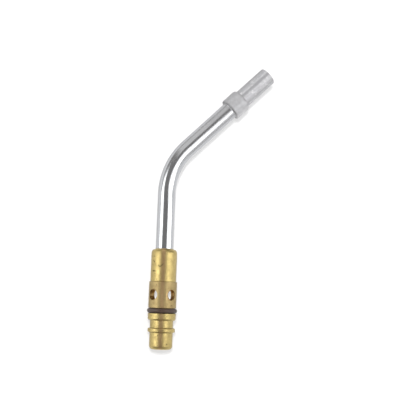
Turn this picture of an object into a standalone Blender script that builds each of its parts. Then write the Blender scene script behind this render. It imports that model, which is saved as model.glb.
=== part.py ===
"""Interchangeable swirl burner tip for a hand torch: brass quick-connect stem with its seal, gas jet
and air mixer, a bent stainless neck tube, and a collar with the flame tube and its swirl vanes.

The tip lies flat: +Y runs along the stem from the nose towards the burner, +X is the side that the
neck bends to, and +Z is up. Distances along the stem are counted from the nose's end face, and
distances along the burner from the bend's vertex, where the stem and burner axes cross.
Lengths are in millimetres, turned into metres by MM where a mesh is made.
"""

import math

import bmesh
import bpy
from mathutils import Vector

MM = 0.001

# Facets round each piece.
BODY_FACETS = 36
TUBE_FACETS = 32
SMALL_FACETS = 24
BEND_STEPS = 12

# Gap between neighbouring pieces.
GAP = 0.3

# O-ring, a standard 10.77 x 2.62 section.
RING_SECTION = 2.62
RING_OUTER_R = 8.0
RING_MIDDLE_R = RING_OUTER_R - RING_SECTION / 2
RING_AT = 20.35

# Outside of the connector stem.
NOSE_R = 6.15
NOSE_ROUNDING = 1.9
RIDGE_R = 7.25
RIDGE_FROM = 8.8
RIDGE_TO = 11.4
FLANGE_R = 7.45
FLANGE_FROM = 15.35
GROOVE_FLOOR_R = 5.05
GROOVE_HALF = RING_SECTION / 2 + GAP + 0.04
FLANGE_TO = RING_AT - GROOVE_HALF
SPIGOT_END = 24.6

# Gas way inside the stem.
INLET_R = 3.2
CLIP_GROOVE_R = 3.6
CLIP_GROOVE_FROM = 4.4
CLIP_GROOVE_TO = 5.6
INLET_DEPTH = 12.0
PASSAGE_R = 1.3
JET_SOCKET_R = 2.3
JET_SOCKET_FROM = 18.4

# Mixer body with four round air ports, made by two drills that lean this far from the upright.
MIXER_R = 7.4
MIXER_FROM = RING_AT + GROOVE_HALF
MIXER_TO = 35.6
MIXER_SHOULDER = SPIGOT_END + GAP
CHAMBER_R = 4.5
CHAMBER_TO = 31.9
SLEEVE_SOCKET_R = 5.9
PORT_R = 2.85
PORT_AT = 28.7
PORT_LEANS = (math.radians(32), math.radians(-50))

# Gas jet on the stem's end.
JET_THREAD_R = JET_SOCKET_R - GAP
WASHER_FROM = SPIGOT_END + GAP
WASHER_TO = WASHER_FROM + 0.4
WASHER_R = 3.4
JET_HEX_FROM = WASHER_TO + GAP
JET_HEX_TO = JET_HEX_FROM + 1.6
JET_HEX_FLATS = 5.0
JET_TIP = 29.0
JET_TIP_R = 0.9
JET_ORIFICE_R = 0.35
DISC_FROM = 26.4
DISC_TO = 26.7

# Upper sleeve, brazed to the neck tube.
SLEEVE_R = 6.85
SLEEVE_SPIGOT_FROM = CHAMBER_TO + GAP
SLEEVE_FROM = MIXER_TO + GAP
SLEEVE_TO = 52.7
SLEEVE_ROUNDING_LENGTH = 2.3
SLEEVE_ROUNDING_DEPTH = 1.3

# Neck tube, 3/8 inch outside, bent 45 degrees.
TUBE_R = 9.525 / 2
TUBE_WALL = 0.9
TUBE_FROM = 42.8
BEND_VERTEX = 97.6
BEND_ANGLE = math.radians(45)
BEND_R = 35.0
BEND_TANGENT = BEND_R * math.tan(BEND_ANGLE / 2)
TUBE_BORE_R = TUBE_R + GAP

# Venturi insert between the mixing chamber and the neck tube.
VENTURI_FROM = 32.6
VENTURI_TO = TUBE_FROM - GAP
VENTURI_MOUTH_R = 3.9
VENTURI_THROAT_R = 2.6
VENTURI_THROAT_AT = 36.0
VENTURI_EXIT_R = 3.7

# Burner pieces, measured from the bend's vertex.
COLLAR_FROM = 46.3
COLLAR_TO = 55.3
COLLAR_R = 6.25
COLLAR_EDGE = 0.5
COLLAR_ROUNDING_LENGTH = 1.6
COLLAR_ROUNDING_DEPTH = 0.75
TUBE_END = 50.5
FLAME_FROM = TUBE_END + GAP
FLAME_TO = 75.35
FLAME_R = 5.0
FLAME_BORE_R = 4.1
FLAME_EDGE = 0.3
VANES_FROM = 57.0
VANES_TO = 66.0
VANES_R = FLAME_BORE_R - GAP
VANE_COUNT = 4
VANE_THICKNESS = 0.9
VANE_TWIST = math.radians(110)
VANE_STEPS = 9
HUB_R = 1.5
HUB_BORE_R = 0.8
SPINDLE_R = HUB_BORE_R - GAP
SPINDLE_HEAD_R = 1.15
SPINDLE_HEAD_LENGTH = 0.9

# The lying tip's footprint, from which its origin is set: bottom centre of its box.
SQUARE_ON = math.cos(BEND_ANGLE)
FAR_CORNER = (FLAME_TO + FLAME_R - FLAME_EDGE) * SQUARE_ON
MOUTH_CORNER = (FLAME_TO - FLAME_EDGE + FLAME_R) * SQUARE_ON
REACH = max(FAR_CORNER, MOUTH_CORNER)
NOSE_X = -(REACH - RING_OUTER_R) / 2
NOSE_Y = -(BEND_VERTEX + REACH) / 2


def clear_scene():
    for item in list(bpy.data.objects):
        bpy.data.objects.remove(item, do_unlink=True)


def make_material(name, colour, roughness, metallic):
    material = bpy.data.materials.new(name)
    material.use_nodes = True
    shader = material.node_tree.nodes["Principled BSDF"]
    shader.inputs["Base Color"].default_value = (*colour, 1.0)
    shader.inputs["Roughness"].default_value = roughness
    shader.inputs["Metallic"].default_value = metallic
    material.diffuse_color = (*colour, 1.0)
    return material


def make_frames():
    """Empties that place the pieces: local +Z runs along the stem, or along the burner."""
    stem = bpy.data.objects.new("stem_frame", None)
    stem.location = (NOSE_X * MM, NOSE_Y * MM, RING_OUTER_R * MM)
    stem.rotation_euler = (-math.pi / 2, 0.0, 0.0)
    burner = bpy.data.objects.new("burner_frame", None)
    burner.location = (NOSE_X * MM, (NOSE_Y + BEND_VERTEX) * MM, RING_OUTER_R * MM)
    burner.rotation_euler = (-math.pi / 2, 0.0, -BEND_ANGLE)
    for frame in (stem, burner):
        bpy.context.collection.objects.link(frame)
    return stem, burner


def add_piece(name, mesh_maker, material, frame):
    """Turn a filled bmesh into one named object on its frame, faces out and smooth shaded."""
    bmesh.ops.recalc_face_normals(mesh_maker, faces=mesh_maker.faces[:])
    mesh = bpy.data.meshes.new(name)
    mesh_maker.to_mesh(mesh)
    mesh_maker.free()
    mesh.materials.append(material)
    mesh.shade_smooth()
    mesh.set_sharp_from_angle(angle=math.radians(32))
    piece = bpy.data.objects.new(name, mesh)
    bpy.context.collection.objects.link(piece)
    piece.parent = frame
    return piece


def arc(centre, radii, start, end, steps):
    """Points (radius, along) on a quarter ellipse or other arc, angles in degrees from +radius."""
    points = []
    for step in range(steps + 1):
        angle = math.radians(start + (end - start) * step / steps)
        points.append((centre[0] + radii[0] * math.cos(angle), centre[1] + radii[1] * math.sin(angle)))
    return points


def spun(outline, facets, turn=2 * math.pi):
    """Spin a closed (radius, along) outline in millimetres about local Z.

    An outline that starts and ends on the axis gives a solid piece, any other one a hollow ring.
    """
    shape = bmesh.new()
    solid = outline[0][0] == 0.0 and outline[-1][0] == 0.0
    ring = [shape.verts.new((radius * MM, 0.0, along * MM)) for radius, along in outline]
    edges = [shape.edges.new(pair) for pair in zip(ring, ring[1:])]
    if not solid:
        edges.append(shape.edges.new((ring[-1], ring[0])))
    whole = math.isclose(turn, 2 * math.pi)
    caps = []
    if not whole:
        caps.append(shape.faces.new(ring))
    made = bmesh.ops.spin(
        shape,
        geom=ring + edges + caps,
        cent=(0.0, 0.0, 0.0),
        axis=(0.0, 0.0, 1.0),
        angle=turn,
        steps=facets,
        use_merge=whole,
    )
    if not whole:
        close_sweep(shape, made["geom_last"])
    bmesh.ops.remove_doubles(shape, verts=shape.verts[:], dist=1e-7)
    bmesh.ops.dissolve_degenerate(shape, edges=shape.edges[:], dist=1e-7)
    return shape


def close_sweep(shape, last):
    """Cap the far end of a part turn, unless the spin carried the first cap along."""
    if any(isinstance(item, bmesh.types.BMFace) for item in last):
        return
    bmesh.ops.contextual_create(shape, geom=[item for item in last if isinstance(item, bmesh.types.BMEdge)])


def connector_stem(material, frame):
    ridge_side = (RIDGE_TO - RIDGE_FROM) / 4
    ridge_height = RIDGE_R - NOSE_R
    outside = arc((NOSE_R - NOSE_ROUNDING, NOSE_ROUNDING), (NOSE_ROUNDING, NOSE_ROUNDING), -90, 0, 5)
    outside += [(NOSE_R, RIDGE_FROM)]
    outside += arc((NOSE_R, RIDGE_FROM + ridge_side), (ridge_height, ridge_side), -45, 0, 2)
    outside += arc((NOSE_R, RIDGE_TO - ridge_side), (ridge_height, ridge_side), 0, 45, 2)
    outside += [
        (NOSE_R, RIDGE_TO),
        (NOSE_R, FLANGE_FROM),
        (FLANGE_R - 0.25, FLANGE_FROM),
        (FLANGE_R, FLANGE_FROM + 0.25),
        (FLANGE_R, FLANGE_TO),
        (GROOVE_FLOOR_R, FLANGE_TO),
        (GROOVE_FLOOR_R, SPIGOT_END),
    ]
    inside = [
        (JET_SOCKET_R, SPIGOT_END),
        (JET_SOCKET_R, JET_SOCKET_FROM),
        (PASSAGE_R, JET_SOCKET_FROM),
        (PASSAGE_R, INLET_DEPTH),
        (INLET_R, INLET_DEPTH),
        (INLET_R, CLIP_GROOVE_TO),
        (CLIP_GROOVE_R, CLIP_GROOVE_TO),
        (CLIP_GROOVE_R, CLIP_GROOVE_FROM),
        (INLET_R, CLIP_GROOVE_FROM),
        (INLET_R, 0.0),
    ]
    return add_piece("connector_stem", spun(outside + inside, BODY_FACETS), material, frame)


def o_ring(material, frame):
    section = RING_SECTION / 2
    outline = arc((RING_MIDDLE_R, RING_AT), (section, section), 0, 360, 10)[:-1]
    return add_piece("o_ring", spun(outline, BODY_FACETS), material, frame)


def retaining_clip(material, frame):
    """Open spring ring that snaps into the groove of the inlet."""
    low = CLIP_GROOVE_FROM + GAP
    high = CLIP_GROOVE_TO - GAP
    outer = CLIP_GROOVE_R - GAP
    outline = [(2.3, low), (outer, low), (outer, high), (2.3, high)]
    return add_piece("retaining_clip", spun(outline, SMALL_FACETS, math.radians(310)), material, frame)


def inlet_screen(material, frame):
    """Thin disc with rings of small holes, in front of the filter."""
    low = CLIP_GROOVE_TO + GAP
    high = low + 0.4
    radius = INLET_R - GAP
    outline = [(0.0, low), (radius, low), (radius, high), (0.0, high)]
    screen = add_piece("inlet_screen", spun(outline, SMALL_FACETS), material, frame)
    centres = [(0.0, 0.0)]
    for ring_r, count in ((0.95, 6), (1.95, 12)):
        for index in range(count):
            angle = 2 * math.pi * index / count
            centres.append((ring_r * math.cos(angle), ring_r * math.sin(angle)))
    holes = bmesh.new()
    for x, y in centres:
        made = bmesh.ops.create_cone(holes, cap_ends=True, segments=6, radius1=0.3 * MM, radius2=0.3 * MM,
                                     depth=2 * MM)
        bmesh.ops.translate(holes, verts=made["verts"], vec=Vector((x, y, (low + high) / 2)) * MM)
    cut(screen, add_piece("screen_holes", holes, material, frame))
    return screen


def inlet_filter(material, frame):
    """Sintered plug that fills the inlet behind the screen."""
    low = CLIP_GROOVE_TO + GAP + 0.4 + GAP
    high = INLET_DEPTH - GAP
    radius = INLET_R - GAP
    outline = [(0.0, low), (radius - 0.5, low), (radius, low + 0.5)]
    outline += [(radius, high - 0.3), (radius - 0.3, high), (0.0, high)]
    return add_piece("inlet_filter", spun(outline, SMALL_FACETS), material, frame)


def jet_seal_washer(material, frame):
    outline = [(JET_SOCKET_R, WASHER_FROM), (WASHER_R, WASHER_FROM), (WASHER_R, WASHER_TO),
               (JET_SOCKET_R, WASHER_TO)]
    return add_piece("jet_seal_washer", spun(outline, SMALL_FACETS), material, frame)


def gas_jet(material, frame):
    """Threaded jet with a hexagon and a cone; its bore narrows to the orifice at the tip."""
    low = JET_SOCKET_FROM + GAP
    neck_r = 1.9
    outline = [
        (1.3, low),
        (JET_THREAD_R, low),
        (JET_THREAD_R, JET_HEX_FROM + 0.2),
        (neck_r, JET_HEX_TO - 0.2),
        (neck_r, JET_HEX_TO + 0.3),
        (JET_TIP_R, JET_TIP),
        (JET_ORIFICE_R, JET_TIP),
        (JET_ORIFICE_R, DISC_TO + GAP),
        (1.3, DISC_TO + GAP),
    ]
    jet = add_piece("gas_jet", spun(outline, SMALL_FACETS), material, frame)
    across_corners = JET_HEX_FLATS / 2 / math.cos(math.pi / 6)
    outer = [(across_corners, JET_HEX_FROM), (across_corners, JET_HEX_TO)]
    inner = [(1.6, JET_HEX_TO), (1.6, JET_HEX_FROM)]
    join(jet, add_piece("jet_hexagon", spun(outer + inner, 6), material, frame))
    return jet


def orifice_disc(material, frame):
    """Disc with a fine hole, held in the jet's bore."""
    outline = [(0.2, DISC_FROM), (1.0, DISC_FROM), (1.0, DISC_TO), (0.2, DISC_TO)]
    return add_piece("orifice_disc", spun(outline, SMALL_FACETS // 2), material, frame)


def mixer_body(material, frame):
    edge = 0.2
    socket_r = GROOVE_FLOOR_R + GAP
    outline = [
        (socket_r, MIXER_FROM),
        (MIXER_R - edge, MIXER_FROM),
        (MIXER_R, MIXER_FROM + edge),
        (MIXER_R, MIXER_TO - edge),
        (MIXER_R - edge, MIXER_TO),
        (SLEEVE_SOCKET_R, MIXER_TO),
        (SLEEVE_SOCKET_R, CHAMBER_TO),
        (CHAMBER_R, CHAMBER_TO),
        (CHAMBER_R, MIXER_SHOULDER),
        (socket_r, MIXER_SHOULDER),
    ]
    body = add_piece("mixer_body", spun(outline, BODY_FACETS), material, frame)
    for index, lean in enumerate(PORT_LEANS):
        drill = bmesh.new()
        bmesh.ops.create_cone(drill, cap_ends=True, segments=SMALL_FACETS, radius1=PORT_R * MM,
                              radius2=PORT_R * MM, depth=4 * MIXER_R * MM)
        cutter = add_piece(f"port_drill_{index + 1}", drill, material, frame)
        cutter.location = (0.0, 0.0, PORT_AT * MM)
        cutter.rotation_euler = (math.pi / 2, 0.0, lean)
        cut(body, cutter)
    return body


def venturi_throat(material, frame):
    """Insert whose bore narrows to a throat and widens again towards the neck tube."""
    outer = TUBE_BORE_R - GAP
    entry = arc((VENTURI_MOUTH_R + 0.05, VENTURI_THROAT_AT), (VENTURI_MOUTH_R + 0.05 - VENTURI_THROAT_R,
                VENTURI_THROAT_AT - VENTURI_FROM), 180, 270, 6)
    outline = [(outer, VENTURI_FROM), (outer, VENTURI_TO), (VENTURI_EXIT_R, VENTURI_TO)] + entry
    return add_piece("venturi_throat", spun(outline, SMALL_FACETS), material, frame)


def tube_sleeve(material, frame):
    rounding = (SLEEVE_ROUNDING_DEPTH, SLEEVE_ROUNDING_LENGTH)
    spigot_r = SLEEVE_SOCKET_R - GAP
    outline = [
        (TUBE_BORE_R, SLEEVE_SPIGOT_FROM),
        (spigot_r, SLEEVE_SPIGOT_FROM),
        (spigot_r, SLEEVE_FROM),
        (SLEEVE_R, SLEEVE_FROM),
    ]
    outline += arc((SLEEVE_R - rounding[0], SLEEVE_TO - rounding[1]), rounding, 0, 90, 5)
    outline += [(TUBE_BORE_R, SLEEVE_TO)]
    return add_piece("tube_sleeve", spun(outline, BODY_FACETS), material, frame)


def tube_stations():
    """Places along the neck tube's centre line, each with its lean towards +X in radians."""
    bend_from = BEND_VERTEX - BEND_TANGENT
    stations = [(0.0, TUBE_FROM, 0.0)]
    for step in range(BEND_STEPS + 1):
        lean = BEND_ANGLE * step / BEND_STEPS
        stations.append((BEND_R * (1 - math.cos(lean)), bend_from + BEND_R * math.sin(lean), lean))
    end_aside = TUBE_END * math.sin(BEND_ANGLE)
    end_along = BEND_VERTEX + TUBE_END * math.cos(BEND_ANGLE)
    stations.append((end_aside, end_along, BEND_ANGLE))
    return stations


def tube_rings(shape, radius):
    rings = []
    for aside, along, lean in tube_stations():
        ring = []
        for facet in range(TUBE_FACETS):
            angle = 2 * math.pi * facet / TUBE_FACETS
            reach = radius * math.cos(angle)
            across = aside + reach * math.cos(lean)
            point = Vector((across, radius * math.sin(angle), along - reach * math.sin(lean)))
            ring.append(shape.verts.new(point * MM))
        rings.append(ring)
    return rings


def skin(shape, rings):
    """Join each closed ring of vertices to the next one."""
    for low, high in zip(rings, rings[1:]):
        bridge(shape, low, high)


def bridge(shape, one, other):
    for index in range(len(one)):
        after = (index + 1) % len(one)
        shape.faces.new((one[index], one[after], other[after], other[index]))


def hollow(outer, inner, shape):
    """A hollow piece from its outer and inner rings, closed at both ends."""
    skin(shape, outer)
    skin(shape, inner)
    bridge(shape, outer[0], inner[0])
    bridge(shape, outer[-1], inner[-1])
    return shape


def neck_tube(material, frame):
    shape = bmesh.new()
    hollow(tube_rings(shape, TUBE_R), tube_rings(shape, TUBE_R - TUBE_WALL), shape)
    return add_piece("neck_tube", shape, material, frame)


def burner_collar(material, frame):
    """Collar brazed over the joint of neck tube and flame tube, rounded over at its outer end."""
    rounding = (COLLAR_ROUNDING_DEPTH, COLLAR_ROUNDING_LENGTH)
    step = (TUBE_END + FLAME_FROM) / 2
    flame_socket_r = FLAME_R + GAP
    outline = [(TUBE_BORE_R, COLLAR_FROM)]
    edge = (COLLAR_EDGE, COLLAR_EDGE)
    outline += arc((COLLAR_R - COLLAR_EDGE, COLLAR_FROM + COLLAR_EDGE), edge, -90, 0, 3)
    outline += arc((COLLAR_R - rounding[0], COLLAR_TO - rounding[1]), rounding, 0, 90, 4)
    outline += [(flame_socket_r, COLLAR_TO), (flame_socket_r, step), (TUBE_BORE_R, step)]
    return add_piece("burner_collar", spun(outline, BODY_FACETS), material, frame)


def flame_tube(material, frame):
    outline = [
        (FLAME_BORE_R, FLAME_FROM),
        (FLAME_R, FLAME_FROM),
        (FLAME_R, FLAME_TO - FLAME_EDGE),
        (FLAME_R - FLAME_EDGE, FLAME_TO),
        (FLAME_BORE_R, FLAME_TO),
    ]
    return add_piece("flame_tube", spun(outline, BODY_FACETS), material, frame)


def vane_section():
    """Outline of the hub with its vanes, as (radius, angle) pairs."""
    half_root = math.asin(VANE_THICKNESS / 2 / HUB_R)
    half_tip = math.asin(VANE_THICKNESS / 2 / VANES_R)
    pitch = 2 * math.pi / VANE_COUNT
    points = []
    for vane in range(VANE_COUNT):
        middle = vane * pitch
        points += [(HUB_R, middle - half_root), (VANES_R, middle - half_tip), (VANES_R, middle + half_tip),
                   (HUB_R, middle + half_root), (HUB_R, middle + pitch / 2)]
    return points


def twisted_rings(shape, section):
    """One closed ring of vertices at each step along the vanes, turned a little more each time."""
    rings = []
    for step in range(VANE_STEPS + 1):
        share = step / VANE_STEPS
        along = VANES_FROM + (VANES_TO - VANES_FROM) * share
        turn = VANE_TWIST * share
        ring = []
        for radius, angle in section:
            point = Vector((radius * math.cos(angle + turn), radius * math.sin(angle + turn), along))
            ring.append(shape.verts.new(point * MM))
        rings.append(ring)
    return rings


def swirl_vanes(material, frame):
    """Hub with helical vanes, which sets the flame spinning."""
    shape = bmesh.new()
    outer = vane_section()
    inner = [(HUB_BORE_R, angle) for _, angle in outer]
    hollow(twisted_rings(shape, outer), twisted_rings(shape, inner), shape)
    return add_piece("swirl_vanes", shape, material, frame)


def vane_spindle(material, frame):
    """Rivet through the hub, with a head at each end."""
    low = VANES_FROM - GAP
    high = VANES_TO + GAP
    head = SPINDLE_HEAD_LENGTH
    outline = [(0.0, low - head)]
    outline += arc((0.0, low), (SPINDLE_HEAD_R, head), -60, 0, 2)
    outline += [(SPINDLE_R, low), (SPINDLE_R, high)]
    outline += arc((0.0, high), (SPINDLE_HEAD_R, head), 0, 60, 2)
    outline += [(0.0, high + head)]
    return add_piece("vane_spindle", spun(outline, SMALL_FACETS // 2), material, frame)


def hide_helper(helper):
    helper.hide_render = True
    helper.display_type = "WIRE"


def cut(piece, cutter):
    hide_helper(cutter)
    modifier = piece.modifiers.new(cutter.name, "BOOLEAN")
    modifier.operation = "DIFFERENCE"
    modifier.object = cutter


def join(piece, other):
    hide_helper(other)
    modifier = piece.modifiers.new(other.name, "BOOLEAN")
    modifier.operation = "UNION"
    modifier.object = other


def build():
    clear_scene()
    stem, burner = make_frames()
    brass = make_material("brass_turned", (0.72, 0.56, 0.24), 0.28, 1.0)
    mixer_brass = make_material("brass_mixer", (0.68, 0.50, 0.25), 0.34, 1.0)
    jet_brass = make_material("brass_jet", (0.75, 0.58, 0.28), 0.35, 1.0)
    rubber = make_material("nitrile_rubber", (0.045, 0.03, 0.035), 0.55, 0.0)
    spring_steel = make_material("spring_steel", (0.42, 0.42, 0.44), 0.35, 1.0)
    mesh_steel = make_material("screen_steel", (0.55, 0.55, 0.56), 0.4, 1.0)
    bronze = make_material("sintered_bronze", (0.45, 0.3, 0.17), 0.8, 0.8)
    copper = make_material("washer_copper", (0.72, 0.38, 0.25), 0.4, 1.0)
    bright_steel = make_material("bright_stainless", (0.66, 0.66, 0.68), 0.2, 1.0)
    blasted_steel = make_material("blasted_stainless", (0.5, 0.5, 0.51), 0.6, 1.0)
    flame_steel = make_material("heat_dulled_stainless", (0.56, 0.56, 0.58), 0.48, 1.0)
    connector_stem(brass, stem)
    o_ring(rubber, stem)
    retaining_clip(spring_steel, stem)
    inlet_screen(mesh_steel, stem)
    inlet_filter(bronze, stem)
    jet_seal_washer(copper, stem)
    gas_jet(jet_brass, stem)
    orifice_disc(spring_steel, stem)
    mixer_body(mixer_brass, stem)
    venturi_throat(jet_brass, stem)
    tube_sleeve(brass, stem)
    neck_tube(bright_steel, stem)
    burner_collar(blasted_steel, burner)
    flame_tube(flame_steel, burner)
    swirl_vanes(flame_steel, burner)
    vane_spindle(flame_steel, burner)


build()
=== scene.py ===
"""Looks of the swirl burner tip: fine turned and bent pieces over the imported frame, procedural metals
and rubber, a pale floor, softbox lighting and the camera above the lying tip.

Outlines are in millimetres as (radius, along) in one of two local frames whose +Z runs along the
stem from its nose, or along the burner from the bend's vertex. MM turns them into metres.
"""

import math
import bmesh
import bpy
import numpy as np
from mathutils import Euler, Matrix, Vector

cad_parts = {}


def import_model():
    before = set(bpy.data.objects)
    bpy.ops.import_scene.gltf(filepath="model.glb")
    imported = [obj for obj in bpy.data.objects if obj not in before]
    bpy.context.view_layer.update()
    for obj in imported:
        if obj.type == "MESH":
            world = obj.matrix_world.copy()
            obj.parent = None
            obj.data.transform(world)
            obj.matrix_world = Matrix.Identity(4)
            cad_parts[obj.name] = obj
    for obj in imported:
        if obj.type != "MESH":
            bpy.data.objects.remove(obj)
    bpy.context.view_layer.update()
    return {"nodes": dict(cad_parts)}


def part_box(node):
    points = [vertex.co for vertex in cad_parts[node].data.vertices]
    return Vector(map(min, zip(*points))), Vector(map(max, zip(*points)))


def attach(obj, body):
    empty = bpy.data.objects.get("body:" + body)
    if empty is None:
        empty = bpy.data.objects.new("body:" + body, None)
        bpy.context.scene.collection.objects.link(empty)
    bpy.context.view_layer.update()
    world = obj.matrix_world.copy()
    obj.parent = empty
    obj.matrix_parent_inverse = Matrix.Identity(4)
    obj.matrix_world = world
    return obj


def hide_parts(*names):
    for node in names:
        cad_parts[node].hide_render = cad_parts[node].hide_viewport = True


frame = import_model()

MM = 0.001
WHOLE_TURN = 2 * math.pi
BEND_ANGLE = math.radians(45)


# ---- places taken from the frame

def middle(node):
    low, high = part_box(node)
    return (low + high) / 2


def stem_matrix():
    """Local +Z along the stem, origin at the nose's end face on the axis. Local +Y points down."""
    ring = middle("o_ring")
    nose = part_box("connector_stem")[0].y
    turn = Euler((-math.pi / 2, 0.0, 0.0)).to_matrix().to_4x4()
    return Matrix.Translation((ring.x, nose, ring.z)) @ turn


def burner_matrix():
    """Local +Z along the burner, origin where its axis crosses the stem's. Local +Y points down."""
    ring = middle("o_ring")
    flame = middle("flame_tube")
    vertex_y = flame.y - (flame.x - ring.x) / math.tan(BEND_ANGLE)
    turn = Euler((-math.pi / 2, 0.0, -BEND_ANGLE)).to_matrix().to_4x4()
    return Matrix.Translation((ring.x, vertex_y, ring.z)) @ turn


STEM = stem_matrix()
BURNER = burner_matrix()
VERTEX = (STEM.inverted() @ BURNER.translation).z / MM


def reach(node, place):
    """First and last place along the axis and the outer radius of a CAD node, in millimetres."""
    inverse = place.inverted()
    points = np.array([inverse @ vert.co for vert in frame["nodes"][node].data.vertices]) / MM
    radii = np.hypot(points[:, 0], points[:, 1])
    return float(points[:, 2].min()), float(points[:, 2].max()), float(radii.max())


# ---- named sizes, in millimetres

# Facets round large, middle and small pieces, and steps in a fillet's arc.
FINE = 160
MEDIUM = 96
SMALL = 64
FILLET_STEPS = 5

# A point this far past each end of a fillet keeps the flat beside it flat.
SUPPORT = 0.06

# Joints are this wide in the CAD; the visible pieces reach over most of it.
GAP = 0.3
SNUG = 0.24

INLET_R = 3.2
INLET_TO = 12.0
CLIP_GROOVE_R = 3.6
CLIP_GROOVE_FROM = 4.4
CLIP_GROOVE_TO = 5.6
CLIP_BORE_R = 2.3
PASSAGE_R = 1.3
OUTLET_R = 2.3
OUTLET_FROM = 18.4
NOSE_R = 6.15
NOSE_ROUND = 1.85
RIDGE_R = 7.25
RIDGE_FROM = 8.8
RIDGE_TO = 11.4
FLANGE_R = 7.45
FLANGE_FROM = 15.35
GROOVE_FLOOR_R = 5.05
GROOVE = 3.3
SEAL_SECTION_R = 2.62 / 2

MIXER_FROM, MIXER_TO, _ = reach("mixer_body", STEM)
SLEEVE_FROM = MIXER_TO + GAP
SLEEVE_SPIGOT_R = 5.6
CHAMBER_R = 4.5
CHAMBER_FROM = 24.9
CHAMBER_TO = 31.9
PORT_R = 2.85
PORT_AT = 28.7
PORT_LEANS = (math.radians(32), math.radians(-50))

TUBE_R = 9.525 / 2
TUBE_WALL = 0.9
TUBE_END = 50.5
BEND_R = 35.0
FLAME_BORE_R = 4.1


# ---- mesh tools

def rounded(corners, closed=True):
    """Outline points from (radius, along, fillet) corners: each fillet becomes an arc.

    Every point also carries a mark: 1 on an outer edge's fillet, which is worn, -1 in an inner corner, which
    gets painted shade, 0 on a flat.
    """
    points = []
    count = len(corners)
    for index, (radius, along, fillet) in enumerate(corners):
        here = Vector((radius, along))
        before = Vector(corners[index - 1][:2])
        after = Vector(corners[(index + 1) % count][:2])
        open_end = not closed and index in (0, count - 1)
        if fillet <= 0 or open_end:
            points.append((radius, along, 0.0))
            continue
        points += fillet_points(before, here, after, fillet)
    return points


def fillet_points(before, here, after, fillet):
    """The arc that rounds one corner, with a support point on the flat at either side."""
    back = (before - here).normalized()
    onward = (after - here).normalized()
    half = back.angle(onward) / 2
    cut_back = fillet / math.tan(half)
    bulge = back.cross(onward)
    edge_corner_value = 1.0 if bulge < 0 else -1.0
    centre = here + (back + onward).normalized() * (fillet / math.sin(half))
    start = here + back * cut_back - centre
    turn = math.copysign(math.pi - 2 * half, -bulge)
    arc = [(here + back * (cut_back + SUPPORT), 0.0)]
    for step in range(FILLET_STEPS + 1):
        angle = turn * step / FILLET_STEPS
        spoke = Vector((start.x * math.cos(angle) - start.y * math.sin(angle),
                        start.x * math.sin(angle) + start.y * math.cos(angle)))
        arc.append((centre + spoke, edge_corner_value * math.sin(math.pi * step / FILLET_STEPS)))
    arc.append((here + onward * (cut_back + SUPPORT), 0.0))
    return [(point.x, point.y, edge_corner_mark) for point, edge_corner_mark in arc]


def ellipse(centre, radii, start, end, steps):
    """Outline points along part of an ellipse, from one angle to another in degrees."""
    points = []
    for step in range(steps + 1):
        angle = math.radians(start + (end - start) * step / steps)
        points.append((centre[0] + radii[0] * math.cos(angle), centre[1] + radii[1] * math.sin(angle), 0.0))
    return points


def skin(rings, whole=True, looped=True):
    """Faces between each ring of point numbers and the next, and from the last ring to the first if looped.

    Where a ring is one point over and over, the faces are triangles or drop out.
    """
    faces = []
    onward = rings[1:] + rings[:1] if looped else rings[1:]
    for low, high in zip(rings, onward):
        for index in range(len(low) if whole else len(low) - 1):
            after = (index + 1) % len(low)
            corners = [low[index], low[after], high[after], high[index]]
            face = list(dict.fromkeys(corners))
            if len(face) > 2:
                faces.append(face)
    return faces


def finish_mesh(name, points, faces, place, turned=None, edge_corner_mark=None, sharp=38):
    """Make the object, and keep on each point its place round the axis and its edge and corner mark."""
    mesh = bpy.data.meshes.new(name)
    mesh.from_pydata([Vector(point) * MM for point in points], [], faces)
    shape = bmesh.new()
    shape.from_mesh(mesh)
    bmesh.ops.recalc_face_normals(shape, faces=shape.faces[:])
    shape.to_mesh(mesh)
    shape.free()
    way = mesh.attributes.new("turned", "FLOAT_VECTOR", "POINT")
    way.data.foreach_set("vector", np.array(turned or points, np.float32).ravel())
    edge_corner_value = mesh.attributes.new("edge_corner_mark", "FLOAT", "POINT")
    edge_corner_value.data.foreach_set("value", np.array(edge_corner_mark or [0.0] * len(points), np.float32))
    mesh.shade_smooth()
    mesh.set_sharp_from_angle(angle=math.radians(sharp))
    piece = bpy.data.objects.new(name, mesh)
    bpy.context.collection.objects.link(piece)
    piece.matrix_world = place
    return piece


def lathe(name, outline, place, facets=FINE, turn=WHOLE_TURN):
    """Turn a (radius, along, edge and corner mark) outline about local Z; a radius of 0 becomes one point.
    """
    whole = turn == WHOLE_TURN
    stations = facets if whole else facets + 1
    points = []
    edge_corner_mark = []
    rings = []
    for radius, along, edge_corner_value in outline:
        count = stations if radius > 0.0 else 1
        ring = list(range(len(points), len(points) + count))
        for index in range(count):
            angle = turn * index / facets
            points.append((radius * math.cos(angle), radius * math.sin(angle), along))
        edge_corner_mark += [edge_corner_value] * count
        rings.append(ring * (stations // count))
    faces = skin(rings, whole)
    if not whole:
        faces.append([ring[0] for ring in rings])
        faces.append([ring[-1] for ring in rings])
    return finish_mesh(name, points, faces, place, edge_corner_mark=edge_corner_mark)


def plain_ring(name, node, place, bore, fillets, facets=FINE, turn=WHOLE_TURN):
    """Ring as long and as wide as its CAD node; fillets run inner low, outer low, outer high, inner high."""
    low, high, outer = reach(node, place)
    spots = ((bore, low), (outer, low), (outer, high), (bore, high))
    corners = [(*spot, fillet) for spot, fillet in zip(spots, fillets)]
    return lathe(name, rounded(corners), place, facets, turn)


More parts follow.
